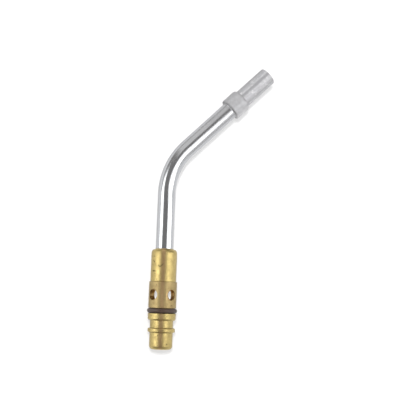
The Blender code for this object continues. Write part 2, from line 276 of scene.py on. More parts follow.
def wire(centres, radius, facets):
    """Points and faces of a round wire through the given centres, closed at both ends."""
    points = []
    rings = []
    last = len(centres) - 1
    for index, centre in enumerate(centres):
        ahead = (centres[min(index + 1, last)] - centres[max(index - 1, 0)]).normalized()
        across = ahead.cross(Vector((0.0, 0.0, 1.0))).normalized()
        up = across.cross(ahead)
        rings.append(list(range(len(points), len(points) + facets)))
        for facet in range(facets):
            angle = WHOLE_TURN * facet / facets
            spot = centre + across * (radius * math.cos(angle)) + up * (radius * math.sin(angle))
            points.append(tuple(spot))
    return points, skin(rings, looped=False) + [rings[0][::-1], rings[-1]]


def cut(piece, cutters):
    """Subtract each cutter from the piece for good and drop the cutter."""
    for cutter in cutters:
        modifier = piece.modifiers.new("cut", "BOOLEAN")
        modifier.operation = "DIFFERENCE"
        modifier.object = cutter
        modifier.solver = "EXACT"
        graph = bpy.context.evaluated_depsgraph_get()
        graph.update()
        mesh = bpy.data.meshes.new_from_object(piece.evaluated_get(graph))
        piece.modifiers.clear()
        piece.data = mesh
        bpy.data.objects.remove(cutter, do_unlink=True)


def show(piece, material, slot, *nodes):
    """Dress a piece, ride it on the tip's one body and let it stand for its CAD nodes."""
    piece.data.materials.clear()
    piece.data.materials.append(material)
    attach(piece, "root")
    if nodes:
        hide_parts(*nodes)
    return piece


# ---- material tools

def fill(tree, node, inputs):
    """Give a node its inputs: each a constant or the output that feeds it."""
    for key, value in inputs.items():
        if hasattr(value, "is_output"):
            tree.links.new(value, node.inputs[key])
        else:
            node.inputs[key].default_value = value


def add_node(tree, kind, inputs, **settings):
    """A new node with its settings first, then its inputs."""
    node = tree.nodes.new(kind)
    for key, value in settings.items():
        setattr(node, key, value)
    fill(tree, node, inputs)
    return node


def shade(tone, share):
    return tuple(part * share for part in tone)


class Paint:
    """Builds one material's node tree; every pattern hangs on the piece's own turned coordinates.

    Those are in millimetres: across, down and along the piece's axis, as if the tube were unbent.
    """

    def __init__(self, name):
        self.material = bpy.data.materials.new(name)
        self.material.use_nodes = True
        self.tree = self.material.node_tree
        self.way = self.node("ShaderNodeAttribute", {}, attribute_name="turned").outputs["Vector"]
        self.edge_corner_mark = self.node("ShaderNodeAttribute", {}, attribute_name="edge_corner_mark").outputs["Fac"]
        self.across, self.down, self.along = self.node("ShaderNodeSeparateXYZ", {"Vector": self.way}).outputs

    def node(self, kind, inputs, **settings):
        return add_node(self.tree, kind, inputs, **settings)

    def stretched(self, scale, turn=(0.0, 0.0, 0.0)):
        """The turned coordinates scaled per axis and then rotated."""
        inputs = {"Vector": self.way, "Scale": scale, "Rotation": turn}
        return self.node("ShaderNodeMapping", inputs).outputs["Vector"]

    def noise(self, scale, detail=3.0, roughness=0.5, turn=(0.0, 0.0, 0.0), distortion=0.0):
        """Clouds, grain or streaks around 0.5; the scale is in waves per millimetre on each axis."""
        inputs = {"Vector": self.stretched(scale, turn), "Scale": 1.0, "Detail": detail}
        inputs.update({"Roughness": roughness, "Distortion": distortion})
        return self.node("ShaderNodeTexNoise", inputs).outputs["Fac"]

    def specks(self, scale, core, rim):
        """Scattered round specks: 1 within the core distance of a cell's point, 0 beyond the rim."""
        inputs = {"Vector": self.stretched((scale, scale, scale)), "Scale": 1.0}
        distance = self.node("ShaderNodeTexVoronoi", inputs).outputs["Distance"]
        return self.ranged(distance, core, rim, 1.0, 0.0)

    def ranged(self, value, low, high, out_low=0.0, out_high=1.0):
        """The value taken from low to high onto the out range, and held at its ends."""
        inputs = {"Value": value, "From Min": low, "From Max": high, "To Min": out_low, "To Max": out_high}
        return self.node("ShaderNodeMapRange", inputs, clamp=True).outputs["Result"]

    def maths(self, operation, one, other=0.0):
        return self.node("ShaderNodeMath", {0: one, 1: other}, operation=operation).outputs["Value"]

    def plus(self, one, other):
        return self.maths("ADD", one, other)

    def minus(self, one, other):
        return self.maths("SUBTRACT", one, other)

    def times(self, one, other):
        return self.maths("MULTIPLY", one, other)

    def distance(self, value, place):
        return self.maths("ABSOLUTE", self.minus(value, place))

    def most(self, *values):
        """The greatest of the values."""
        greatest = values[0]
        for value in values[1:]:
            greatest = self.maths("MAXIMUM", greatest, value)
        return greatest

    def mixed(self, share, one, other):
        """One colour where the share is 0, the other where it is 1."""
        one, other = (tone if hasattr(tone, "is_output") else (*tone, 1.0) for tone in (one, other))
        inputs = {"Factor": share, 6: one, 7: other}
        return self.node("ShaderNodeMix", inputs, data_type="RGBA").outputs[2]

    def tinted(self, colour, share, amount, tone):
        """The colour taken towards a tone, by the amount where the share is 1."""
        return self.mixed(self.times(share, amount), colour, tone)

    def bump(self, height, distance, strength, under=None):
        """A normal raised by the height times a distance in metres, over another bump if given."""
        inputs = {"Height": height, "Distance": distance, "Strength": strength}
        if under is not None:
            inputs["Normal"] = under
        return self.node("ShaderNodeBump", inputs).outputs["Normal"]

    def edge(self):
        return self.ranged(self.edge_corner_mark, 0.1, 0.9)

    # Inner corners, for painted shade.
    def corner(self):
        return self.ranged(self.edge_corner_mark, -0.1, -0.9)

    def out(self):
        """Distance from the axis."""
        return self.maths("SQRT", self.plus(self.times(self.across, self.across),
                                            self.times(self.down, self.down)))

    def side(self):
        """How far round a place is: -1 at the left side, 0 on top or below, 1 at the right side."""
        return self.maths("DIVIDE", self.across, self.most(self.out(), 0.01))

    def painted_top_line(self, place, core, rim, amount):
        """Lengthwise line on the upper side, for a painted reflection of the dark overhead: the amount
        within the core distance, none beyond the rim.
        """
        line = self.ranged(self.distance(self.across, place), core, rim, amount, 0.0)
        return self.times(line, self.maths("LESS_THAN", self.down, 0.0))

    def stroke(self, start, end, width, radius):
        """One short straight mark on a cylinder between two (degrees round from the top, along) places."""
        first = Vector((math.radians(start[0]) * radius, start[1]))
        last = Vector((math.radians(end[0]) * radius, end[1]))
        length = (last - first).length
        onward = (last - first) / length
        angle = self.plus(self.maths("ARCTAN2", self.down, self.across), math.pi / 2)
        aside = self.minus(self.times(angle, radius), first.x)
        ahead = self.minus(self.along, first.y)
        travelled = self.plus(self.times(aside, onward.x), self.times(ahead, onward.y))
        off = self.minus(self.times(ahead, onward.x), self.times(aside, onward.y))
        wander = self.times(self.minus(self.noise((2.5, 2.5, 2.5)), 0.5), width * 1.5)
        off = self.maths("ABSOLUTE", self.plus(off, wander))
        thin = self.ranged(off, width * 0.2, width * 0.6, 1.0, 0.0)
        from_middle = self.distance(travelled, length / 2)
        ends = self.ranged(from_middle, length / 2 - width * 0.5, length / 2 + width * 0.3, 1.0, 0.0)
        return self.times(thin, ends)

    def strokes(self, marks, radius):
        return self.most(*[self.stroke(*mark, radius) for mark in marks])

    def scratches(self, angles, fine, length, amount):
        """Sparse fine lines in the given directions: 1 on a scratch, 0 off it."""
        found = []
        for index, angle in enumerate(angles):
            lines = self.noise((fine, length, length), 1.0, 0.4, (angle, angle * 0.7, angle * 1.3 + index))
            thin = self.ranged(self.distance(lines, 0.5), 0.0, 0.012, 1.0, 0.0)
            patches = self.noise((0.35, 0.35, 0.35), 2.0, 0.5, (angle, 0.0, index))
            found.append(self.times(thin, self.ranged(patches, 1 - amount, 1.03 - amount)))
        return self.most(*found)

    def finish(self, colour, roughness, metallic, normal):
        inputs = {"Base Color": colour, "Roughness": roughness, "Metallic": metallic, "Normal": normal}
        fill(self.tree, self.tree.nodes["Principled BSDF"], inputs)
        return self.material


# ---- materials

# Small dark marks: start and end as (degrees round from the top, along in millimetres), then width.
TURNED_MARKS = (
    ((-31, 44.4), (-21.5, 43.3), 0.75),
    ((-21.5, 43.3), (-7, 45.1), 0.6),
    ((-63, 41.2), (-42, 41.1), 0.8),
    ((-58, 46.9), (-50, 45.6), 0.7),
    ((-56, 49.0), (-50, 48.7), 0.7),
    ((-48, 39.9), (-44, 39.5), 0.5),
    ((22, 2.6), (29, 3.3), 0.7),
)
MIXER_MARKS = (
    ((-35, 34.2), (-30, 33.6), 0.4),
    ((28, 22.9), (40, 23.3), 0.4),
)
# Painted reflection: a brown tint along the top, where the dark overhead is mirrored.
PAINTED_TOP_REFLECTION = (0.62, 0.42, 0.215)
# Painted light: the port bores' inner walls made lighter than the brass round them.
PAINTED_BORE_LIGHT = (0.86, 0.62, 0.3)
BORES_FROM = 25.5
BORES_TO = 32.0


def brass(name, light, dark, tarnish, roughness, scratched, marks, radius):
    """Turned brass: rings from the tool, cloudy tarnish, a painted brown reflection line on top, painted
    shade down both sides and in inner corners, pits, scratches, worn edges and single marks drawn at the
    radius. Port bores inside it get painted light.
    """
    paint = Paint(name)
    clouds = paint.noise((0.22, 0.22, 0.3), 4.0, 0.6)
    blotches = paint.ranged(paint.noise((0.6, 0.6, 0.8), 3.0, 0.6, (0.4, 0.2, 0.0)), 0.52, 0.72)
    rings = paint.noise((0.12, 0.12, 7.0), 3.0, 0.55)
    pit_places = paint.ranged(paint.noise((0.3, 0.3, 0.3), 2.0, 0.5, (0.0, 0.9, 0.3)), 0.5, 0.6)
    pits = paint.times(paint.specks(1.5, 0.06, 0.13), pit_places)
    scratch = paint.scratches((0.5, 1.9, 2.7), 5.0, 0.5, scratched)
    # Inside the port bores, where light is painted.
    bored = paint.ranged(paint.out(), radius - 0.2, radius - 0.6)
    bored = paint.times(bored, paint.maths("GREATER_THAN", paint.along, BORES_FROM))
    bored = paint.times(bored, paint.maths("LESS_THAN", paint.along, BORES_TO))
    # Painted shade down both sides, towards the silhouette.
    painted_side_shade = paint.ranged(paint.maths("ABSOLUTE", paint.side()), 0.8, 0.98, 0.0, 0.42)
    # Pits, scratches and marks, with painted shade in inner corners.
    marks_and_painted_shade = paint.most(paint.times(paint.corner(), 0.75), paint.times(pits, 0.55),
                       paint.times(paint.strokes(marks, radius), 0.9), paint.times(scratch, 0.45))
    colour = paint.mixed(paint.ranged(clouds, 0.35, 0.68), light, dark)
    colour = paint.tinted(colour, blotches, 0.55, tarnish)
    colour = paint.tinted(colour, paint.ranged(rings, 0.3, 0.7), 0.16, dark)
    colour = paint.tinted(colour, paint.edge(), 0.5, light)
    # Painted reflection line along the top.
    colour = paint.mixed(paint.painted_top_line(-0.85, 0.3, 1.6, 0.75), colour, PAINTED_TOP_REFLECTION)
    colour = paint.mixed(bored, colour, PAINTED_BORE_LIGHT)
    colour = paint.mixed(painted_side_shade, colour, shade(dark, 0.55))
    colour = paint.mixed(marks_and_painted_shade, colour, shade(dark, 0.28))
    rough = paint.ranged(clouds, 0.3, 0.75, roughness - 0.04, roughness + 0.09)
    rough = paint.plus(rough, paint.times(blotches, 0.1))
    rough = paint.plus(rough, paint.times(marks_and_painted_shade, 0.2))
    normal = paint.bump(rings, 0.000012, 0.6)
    normal = paint.bump(paint.noise((0.4, 0.4, 0.12), 2.0, 0.5), 0.00003, 0.4, normal)
    normal = paint.bump(paint.times(paint.most(scratch, pits), -1.0), 0.00002, 0.8, normal)
    return paint.finish(colour, rough, 1.0, normal)


def drawn_steel(name):
    """Bright drawn stainless: fine lengthwise lines, faint smears and scratches, duller near the burner,
    painted shade down the left side.
    """
    paint = Paint(name)
    lines = paint.noise((5.5, 5.5, 0.05), 3.0, 0.6)
    smear = paint.noise((0.5, 0.5, 0.12), 3.0, 0.55)
    scratch = paint.scratches((0.3, 2.2), 5.5, 0.4, 0.42)
    warmed = paint.ranged(paint.along, 45.0, 95.0)
    # Painted shade down the left side.
    painted_left_shade = paint.ranged(paint.side(), -0.78, -0.96, 0.0, 0.35)
    colour = paint.mixed(paint.ranged(lines, 0.3, 0.7), (0.52, 0.53, 0.545), (0.47, 0.48, 0.495))
    colour = paint.tinted(colour, paint.ranged(smear, 0.45, 0.7), 0.5, (0.43, 0.44, 0.455))
    colour = paint.tinted(colour, scratch, 0.4, (0.36, 0.36, 0.37))
    colour = paint.tinted(colour, warmed, 0.5, (0.42, 0.42, 0.435))
    colour = paint.mixed(painted_left_shade, colour, (0.24, 0.24, 0.245))
    rough = paint.ranged(smear, 0.3, 0.75, 0.11, 0.2)
    rough = paint.plus(rough, paint.times(warmed, 0.13))
    rough = paint.plus(rough, paint.times(scratch, 0.15))
    normal = paint.bump(lines, 0.000015, 0.5)
    normal = paint.bump(paint.noise((0.25, 0.25, 0.1), 2.0, 0.5), 0.00005, 0.4, normal)
    return paint.finish(colour, rough, 1.0, normal)


def blasted_steel(name):
    """Matt collar: fine blasted grain, soft clouds, scuffs, slightly brighter worn edges, painted shade in
    inner corners, on the lower lip and down the left side, and a painted highlight down the right side.
    """
    paint = Paint(name)
    grain = paint.noise((9.0, 9.0, 9.0), 3.0, 0.7)
    clouds = paint.noise((0.45, 0.45, 0.45), 4.0, 0.6)
    scratch = paint.scratches((0.8, 1.5, 2.5), 4.5, 0.5, 0.5)
    side = paint.side()
    # Painted shade on the lower lip, fading out towards the right.
    painted_lip_shade = paint.ranged(paint.along, 46.6, 47.2, 0.8, 0.0)
    painted_lip_shade = paint.times(painted_lip_shade, paint.ranged(side, 0.62, 0.85, 1.0, 0.25))
    # Painted shade down the left side and a painted highlight down the right side.
    painted_left_shade = paint.ranged(side, -0.55, -0.95, 0.0, 0.38)
    painted_right_shading = paint.ranged(side, 0.7, 0.92, 0.0, 0.55)
    # Scratches, with painted shade in inner corners, on the lip and down the left side.
    marks_and_painted_shade = paint.most(paint.times(paint.corner(), 0.6), paint.times(scratch, 0.35), painted_lip_shade, painted_left_shade)
    colour = paint.mixed(paint.ranged(clouds, 0.35, 0.68), (0.415, 0.415, 0.43), (0.355, 0.355, 0.365))
    colour = paint.tinted(colour, paint.ranged(grain, 0.4, 0.7), 0.25, (0.34, 0.34, 0.35))
    colour = paint.tinted(colour, paint.edge(), 0.35, (0.6, 0.6, 0.6))
    colour = paint.mixed(marks_and_painted_shade, colour, (0.2, 0.2, 0.205))
    colour = paint.mixed(painted_right_shading, colour, (0.62, 0.62, 0.63))
    rough = paint.ranged(clouds, 0.3, 0.7, 0.52, 0.64)
    normal = paint.bump(grain, 0.00003, 0.5)
    normal = paint.bump(paint.times(scratch, -1.0), 0.00002, 0.6, normal)
    return paint.finish(colour, rough, 0.5, normal)


def flame_steel(name):
    """Heat-dulled stainless: lengthwise streaks, cloudy scale, scratches, bright curly rubs, a painted dark
    reflection line on top, and painted shade down the left side and over the right highlight.
    """
    paint = Paint(name)
    bands = paint.noise((0.85, 0.85, 0.03), 2.0, 0.55)
    streaks = paint.noise((3.2, 3.2, 0.12), 3.0, 0.6)
    mottle = paint.noise((0.9, 0.9, 0.6), 4.0, 0.65, (0.3, 0.1, 0.0), 0.4)
    scratch = paint.scratches((0.6, 1.2, 2.4, 3.0), 4.0, 0.5, 0.52)
    curl = paint.noise((0.55, 0.55, 0.45), 1.0, 0.5, (0.5, 0.2, 0.9), 1.2)
    curl = paint.ranged(paint.distance(curl, 0.5), 0.006, 0.03, 1.0, 0.0)
    rubbed = paint.ranged(paint.noise((0.35, 0.35, 0.25), 2.0, 0.5, (1.1, 0.4, 0.0)), 0.48, 0.56)
    side = paint.side()
    # Painted shade down the left side and over the right highlight.
    painted_left_shade = paint.ranged(side, -0.6, -0.93, 0.0, 0.75)
    painted_right_shading = paint.ranged(paint.distance(side, 0.62), 0.1, 0.3, 0.45, 0.0)
    colour = paint.mixed(paint.ranged(bands, 0.35, 0.65), (0.52, 0.52, 0.535), (0.38, 0.38, 0.40))
    colour = paint.tinted(colour, paint.ranged(streaks, 0.4, 0.7), 0.4, (0.36, 0.36, 0.38))
    colour = paint.tinted(colour, paint.ranged(mottle, 0.5, 0.72), 0.5, (0.38, 0.37, 0.38))
    colour = paint.tinted(colour, paint.edge(), 0.3, (0.66, 0.66, 0.67))
    colour = paint.tinted(colour, scratch, 0.45, (0.24, 0.24, 0.25))
    colour = paint.tinted(colour, paint.times(curl, rubbed), 0.8, (0.86, 0.86, 0.87))
    # Painted dark reflection line along the top.
    colour = paint.mixed(paint.painted_top_line(-0.95, 0.3, 1.0, 0.75), colour, (0.27, 0.27, 0.28))
    colour = paint.mixed(painted_left_shade, colour, (0.2, 0.2, 0.205))
    colour = paint.mixed(painted_right_shading, colour, (0.24, 0.24, 0.245))
    rough = paint.ranged(mottle, 0.3, 0.75, 0.42, 0.58)
    normal = paint.bump(streaks, 0.00003, 0.6)
    normal = paint.bump(mottle, 0.00006, 0.5, normal)
    normal = paint.bump(paint.times(scratch, -1.0), 0.00002, 0.6, normal)
    return paint.finish(colour, rough, 0.5, normal)


def seal_rubber(name):
    """Moulded nitrile: brown-black, faint bloom and dust, fine skin."""
    paint = Paint(name)
    bloom = paint.noise((0.6, 0.6, 0.6), 4.0, 0.6)
    skin_grain = paint.noise((6.0, 6.0, 6.0), 3.0, 0.6)
    colour = paint.mixed(paint.ranged(bloom, 0.35, 0.7), (0.036, 0.021, 0.015), (0.050, 0.031, 0.023))
    colour = paint.tinted(colour, paint.specks(2.2, 0.05, 0.12), 0.25, (0.13, 0.10, 0.09))
    rough = paint.ranged(bloom, 0.3, 0.7, 0.42, 0.58)
    return paint.finish(colour, rough, 0.0, paint.bump(skin_grain, 0.00002, 0.5))


def plain_metal(name, light, dark, smoothest, roughest, grain_scale, depth=0.00001):
    """A machined, sintered or annealed metal that is mostly hidden: tone, roughness and grain."""
    paint = Paint(name)
    grain = paint.noise((grain_scale, grain_scale, grain_scale), 4.0, 0.65)
    clouds = paint.noise((0.7, 0.7, 0.7), 3.0, 0.6)
    colour = paint.mixed(paint.ranged(grain, 0.35, 0.65), light, dark)
    colour = paint.tinted(colour, paint.ranged(clouds, 0.45, 0.7), 0.4, dark)
    colour = paint.tinted(colour, paint.edge(), 0.4, light)
    rough = paint.ranged(clouds, 0.3, 0.7, smoothest, roughest)
    return paint.finish(colour, rough, 1.0, paint.bump(grain, depth, 0.7))


# ---- stem pieces

def connector_stem(material):
    """Quick-connect stem: nose, latch ridge, neck, flange, groove and the spigot inside the mixer."""
    _, end, _ = reach("connector_stem", STEM)
    flange_to = MIXER_FROM - GROOVE + SNUG
    slope_foot = 0.1
    slope_top = 0.3
    chamfer = 0.45
    chamfer_length = 0.7
    corners = [
        (INLET_R, 0.0, 0.18),
        (NOSE_R, 0.0, NOSE_ROUND),
        (NOSE_R, RIDGE_FROM + slope_foot, 0.22),
        (RIDGE_R, RIDGE_FROM + slope_top, 0.55),
        (RIDGE_R, RIDGE_TO - slope_top, 0.55),
        (NOSE_R, RIDGE_TO - slope_foot, 0.22),
        (NOSE_R, FLANGE_FROM, 0.18),
        (FLANGE_R - chamfer, FLANGE_FROM, 0.1),
        (FLANGE_R, FLANGE_FROM + chamfer_length, 0.15),
        (FLANGE_R, flange_to, 0.16),
        (GROOVE_FLOOR_R, flange_to, 0.15),
        (GROOVE_FLOOR_R, end, 0.2),
        (OUTLET_R, end, 0.1),
        (OUTLET_R, OUTLET_FROM, 0.0),
        (PASSAGE_R, OUTLET_FROM, 0.0),
        (PASSAGE_R, INLET_TO, 0.0),
        (INLET_R, INLET_TO, 0.1),
        (INLET_R, CLIP_GROOVE_TO, 0.05),
        (CLIP_GROOVE_R, CLIP_GROOVE_TO, 0.0),
        (CLIP_GROOVE_R, CLIP_GROOVE_FROM, 0.0),
        (INLET_R, CLIP_GROOVE_FROM, 0.05),
    ]
    piece = lathe("stem_turned", rounded(corners), STEM)
    return show(piece, material, "brass_turned", "connector_stem")


def seal(material):
    """O-ring with the faint flash line of its mould round its outside."""
    low, high, outer = reach("o_ring", STEM)
    centre_r = outer - SEAL_SECTION_R
    level = (low + high) / 2
    flash = 0.02
    flash_width = 0.09
    steps = 40
    outline = []
    for step in range(steps):
        angle = WHOLE_TURN * step / steps
        radius = SEAL_SECTION_R - flash
        if math.cos(angle) > 0:
            radius += flash * math.exp(-((math.sin(angle) / flash_width) ** 2))
        outline.append((centre_r + radius * math.cos(angle), level + radius * math.sin(angle), 0.0))
    piece = lathe("seal_ring", outline, STEM)
    return show(piece, material, "nitrile_rubber", "o_ring")


def inlet_clip(material):
    """Spring ring snapped into the inlet's groove, with its open gap."""
    turn = math.radians(310)
    piece = plain_ring("clip_ring", "retaining_clip", STEM, CLIP_BORE_R, (0.12,) * 4, MEDIUM, turn)
    return show(piece, material, "spring_steel", "retaining_clip")


def screen(material):
    """Woven wire screen in a thin rim."""
    low, high, outer = reach("inlet_screen", STEM)
    rim_width = 0.45
    rim = plain_ring("inlet_mesh", "inlet_screen", STEM, outer - rim_width, (0.08,) * 4, MEDIUM)
    level = (low + high) / 2
    wires = 11
    wire_r = 0.07
    wire_facets = 8
    steps_per_pitch = 8
    weave_lift = 0.075
    pitch = 2 * (outer - 0.3) / wires
    ends_r = outer - 0.25
    points = []
    faces = []
    for way in range(2):
        for index in range(wires):
            aside = (index - (wires - 1) / 2) * pitch
            length = math.sqrt(ends_r ** 2 - aside ** 2)
            steps = max(int(length / pitch * steps_per_pitch), 6)
            centres = []
            for step in range(steps + 1):
                run = -length + 2 * length * step / steps
                lift = weave_lift * math.cos(math.pi * (run / pitch + index + way))
                spot = (run, aside) if way == 0 else (aside, run)
                centres.append(Vector((*spot, level + lift)))
            new_points, new_faces = wire(centres, wire_r, wire_facets)
            faces += [[corner + len(points) for corner in face] for face in new_faces]
            points += new_points
    weave = finish_mesh("inlet_weave", points, faces, STEM)
    show(weave, material, "screen_steel")
    return show(rim, material, "screen_steel", "inlet_screen")


def filter_plug(material):
    low, high, outer = reach("inlet_filter", STEM)
    corners = [(0.0, low, 0.0), (outer, low, 0.5), (outer, high, 0.3), (0.0, high, 0.0)]
    piece = lathe("filter_plug", rounded(corners, closed=False), STEM, SMALL)
    return show(piece, material, "sintered_bronze", "inlet_filter")


def washer(material):
    piece = plain_ring("seal_washer", "jet_seal_washer", STEM, OUTLET_R, (0.1, 0.15, 0.15, 0.1), MEDIUM)
    return show(piece, material, "washer_copper", "jet_seal_washer")


def jet(material):
    """Gas jet: threaded shank, chamfered hexagon and cone with its orifice."""
    low, tip, _ = reach("gas_jet", STEM)
    hex_from = 25.6
    hex_to = 27.2
    thread_r = 1.92
    root_r = thread_r - 0.3
    crest_r = thread_r - 0.04
    pitch = 0.7
    bore_r = 1.3
    bore_to = 27.0
    neck_r = 1.7
    cone_r = 1.9
    cone_from = hex_to + 0.1
    tip_r = 0.9
    orifice_r = 0.35
    outline = [(bore_r, low, 0.0), (root_r, low, 0.0)]
    for index in range(int((hex_from - 0.6 - low) / pitch)):
        start = low + 0.25 + index * pitch
        outline += [(root_r - 0.02, start, -1.0), (crest_r, start + pitch * 0.42, 1.0),
                    (thread_r, start + pitch * 0.5, 1.0), (crest_r, start + pitch * 0.58, 1.0)]
    outline += [(root_r, hex_from - 0.1, 0.0), (neck_r, cone_from, 0.0)]
    cone = [(cone_r, cone_from, 0.0), (cone_r, hex_to + 0.35, 0.2), (tip_r, tip, 0.2),
            (orifice_r, tip, 0.05), (orifice_r, bore_to, 0.0), (bore_r, bore_to, 0.0)]
    outline += rounded(cone, closed=False)
    piece = lathe("jet_body", outline, STEM, MEDIUM)
    show(piece, material, "brass_jet", "gas_jet")
    nut = hexagon("jet_hexagon", hex_from, hex_to, neck_r + 0.02, STEM)
    return show(nut, material, "brass_jet")


def hexagon(name, low, high, bore_r, place):
    """Bored hexagon whose corners are turned down, more so at both ends."""
    facets = 3 * SMALL
    flats = 2.5
    corner_r = 2.82
    end_corner_r = 2.55
    chamfer = 0.18
    levels = ((low, end_corner_r), (low + chamfer, corner_r), (high - chamfer, corner_r),
              (high, end_corner_r), (high, bore_r), (low, bore_r))
    points = []
    rings = []
    for along, limit in levels:
        rings.append(list(range(len(points), len(points) + facets)))
        for index in range(facets):
            angle = WHOLE_TURN * index / facets
            off = (angle + math.pi / 6) % (math.pi / 3) - math.pi / 6
            radius = min(flats / math.cos(off), limit)
            points.append((radius * math.cos(angle), radius * math.sin(angle), along))
    return finish_mesh(name, points, skin(rings), place, sharp=20)


def metering_disc(material):
    hole_r = 0.2
    piece = plain_ring("metering_disc", "orifice_disc", STEM, hole_r, (0.03, 0.05, 0.05, 0.03), SMALL)
    return show(piece, material, "spring_steel", "orifice_disc")


def mixer(material):
    """Mixer body with its four drilled air ports, edges broken."""
    low, high, outer = reach("mixer_body", STEM)
    low -= SNUG
    corners = [
        (GROOVE_FLOOR_R + GAP, low, 0.1),
        (outer, low, 0.16),
        (outer, high, 0.14),
        (SLEEVE_SPIGOT_R + GAP, high, 0.1),
        (SLEEVE_SPIGOT_R + GAP, CHAMBER_TO, 0.0),
        (CHAMBER_R, CHAMBER_TO, 0.1),
        (CHAMBER_R, CHAMBER_FROM, 0.0),
        (GROOVE_FLOOR_R + GAP, CHAMBER_FROM, 0.0),
    ]
    piece = lathe("mixer_turned", rounded(corners), STEM)
    drills = []
    for lean in PORT_LEANS:
        bpy.ops.mesh.primitive_cylinder_add(vertices=MEDIUM, radius=PORT_R * MM, depth=4 * outer * MM)
        drill = bpy.context.active_object
        spin = Euler((math.pi / 2, 0.0, lean)).to_matrix().to_4x4()
        drill.matrix_world = STEM @ Matrix.Translation((0.0, 0.0, PORT_AT * MM)) @ spin
        drills.append(drill)
    cut(piece, drills)
    chamfer_ports(piece)
    return show(piece, material, "brass_mixer", "mixer_body")


def chamfer_ports(piece):
    """Break the drilled edges: the outer rim of each port gets a small rounded bevel."""
    shape = bmesh.new()
    shape.from_mesh(piece.data)
    bmesh.ops.remove_doubles(shape, verts=shape.verts[:], dist=1e-7)
    margin = 0.05
    outside_r = CHAMBER_R + 1.0
    sharp = math.radians(35)
    rims = []
    for edge in shape.edges:
        if len(edge.link_faces) != 2 or edge.calc_face_angle(0.0) < sharp:
            continue
        spots = [vert.co / MM for vert in edge.verts]
        near_port = all(abs(spot.z - PORT_AT) < PORT_R + margin for spot in spots)
        outside = all(math.hypot(spot.x, spot.y) > outside_r for spot in spots)
        if near_port and outside:
            rims.append(edge)
    bevel = {"offset": 0.14 * MM, "segments": 3, "profile": 0.5, "clamp_overlap": True}
    bmesh.ops.bevel(shape, geom=rims, affect="EDGES", **bevel)
    shape.to_mesh(piece.data)
    shape.free()
    refresh_places(piece)
    piece.data.shade_smooth()
    piece.data.set_sharp_from_angle(angle=math.radians(38))


def refresh_places(piece):
    """Write each point's own local place again after an edit that moved or made points."""
    mesh = piece.data
    places = np.zeros(len(mesh.vertices) * 3, np.float32)
    mesh.vertices.foreach_get("co", places)
    way = mesh.attributes.get("turned") or mesh.attributes.new("turned", "FLOAT_VECTOR", "POINT")
    way.data.foreach_set("vector", places / MM)


def venturi(material):
    """Insert whose bore narrows from the chamber in a quick curve and widens again in a long one."""
    low, high, outer = reach("venturi_throat", STEM)
    mouth_r = 3.88
    exit_r = 3.7
    throat_r = 2.6
    throat_at = low + 3.4
    steps = 24
    exit_share = 0.7
    exit_curve = 1.3
    outline = rounded([(mouth_r, low, 0.1), (outer, low, 0.2), (outer, high, 0.2), (exit_r, high, 0.1)])
    for step in range(1, steps):
        share = step / steps
        if share < exit_share:
            part = share / exit_share
            radius = throat_r + (exit_r - throat_r) * (1 - part) ** exit_curve
            along = high + (throat_at - high) * part
        else:
            part = (share - exit_share) / (1 - exit_share)
            radius = throat_r + (mouth_r - throat_r) * (1 - math.sqrt(1 - part ** 2))
            along = throat_at + (low - throat_at) * part
        outline.append((radius, along, 0.0))
    piece = lathe("venturi_turned", outline, STEM, MEDIUM)
    return show(piece, material, "brass_jet", "venturi_throat")


def sleeve(material):
    """Upper sleeve: plain cylinder with a broken lower edge and a rounded shoulder."""
    low, high, outer = reach("tube_sleeve", STEM)
    start = SLEEVE_FROM - SNUG
    shoulder = (1.3, 2.3)
    shoulder_from = high - shoulder[1]
    corners = [
        (TUBE_R + GAP, low, 0.0),
        (SLEEVE_SPIGOT_R, low, 0.1),
        (SLEEVE_SPIGOT_R, start, 0.12),
        (outer, start, 0.14),
        (outer, shoulder_from, 0.0),
    ]
    outline = rounded(corners, closed=False)
    outline += ellipse((outer - shoulder[0], shoulder_from), shoulder, 4, 90, 14)
    outline.append((TUBE_R + GAP, high, 0.0))
    piece = lathe("sleeve_turned", outline, STEM)
    return show(piece, material, "brass_turned", "tube_sleeve")


def fillet_ring(name, place, along, low_r, width, height, direction, material, slot):
    """Concave braze fillet between a tube and a face, sunk a little into both."""
    high_r = low_r + width
    in_gap = 0.25
    in_face = 0.02
    steps = 8
    outline = [(low_r, along - direction * in_gap, 0.0), (high_r, along - direction * in_face, 0.0)]
    for step in range(1, steps + 1):
        angle = math.pi / 2 * step / steps
        rise = height * (1 - math.cos(angle))
        outline.append((high_r - width * math.sin(angle), along + direction * rise, 0.0))
    piece = lathe(name, outline, place, MEDIUM)
    return show(piece, material, slot)


# ---- neck tube

def neck_stations():
    """(aside, along, lean) of the neck's axis: straight, round the bend, straight to the tube's end."""
    start = reach("neck_tube", STEM)[0]
    tangent = BEND_R * math.tan(BEND_ANGLE / 2)
    bend_from = VERTEX - tangent
    straight_steps = 14
    bend_steps = 56
    stations = []
    for step in range(straight_steps):
        stations.append((0.0, start + (bend_from - start) * step / straight_steps, 0.0))
    for step in range(bend_steps + 1):
        lean = BEND_ANGLE * step / bend_steps
        stations.append((BEND_R * (1 - math.cos(lean)), bend_from + BEND_R * math.sin(lean), lean))
    for step in range(1, straight_steps + 1):
        run = tangent + (TUBE_END - tangent) * step / straight_steps
        stations.append((run * math.sin(BEND_ANGLE), VERTEX + run * math.cos(BEND_ANGLE), BEND_ANGLE))
    return stations


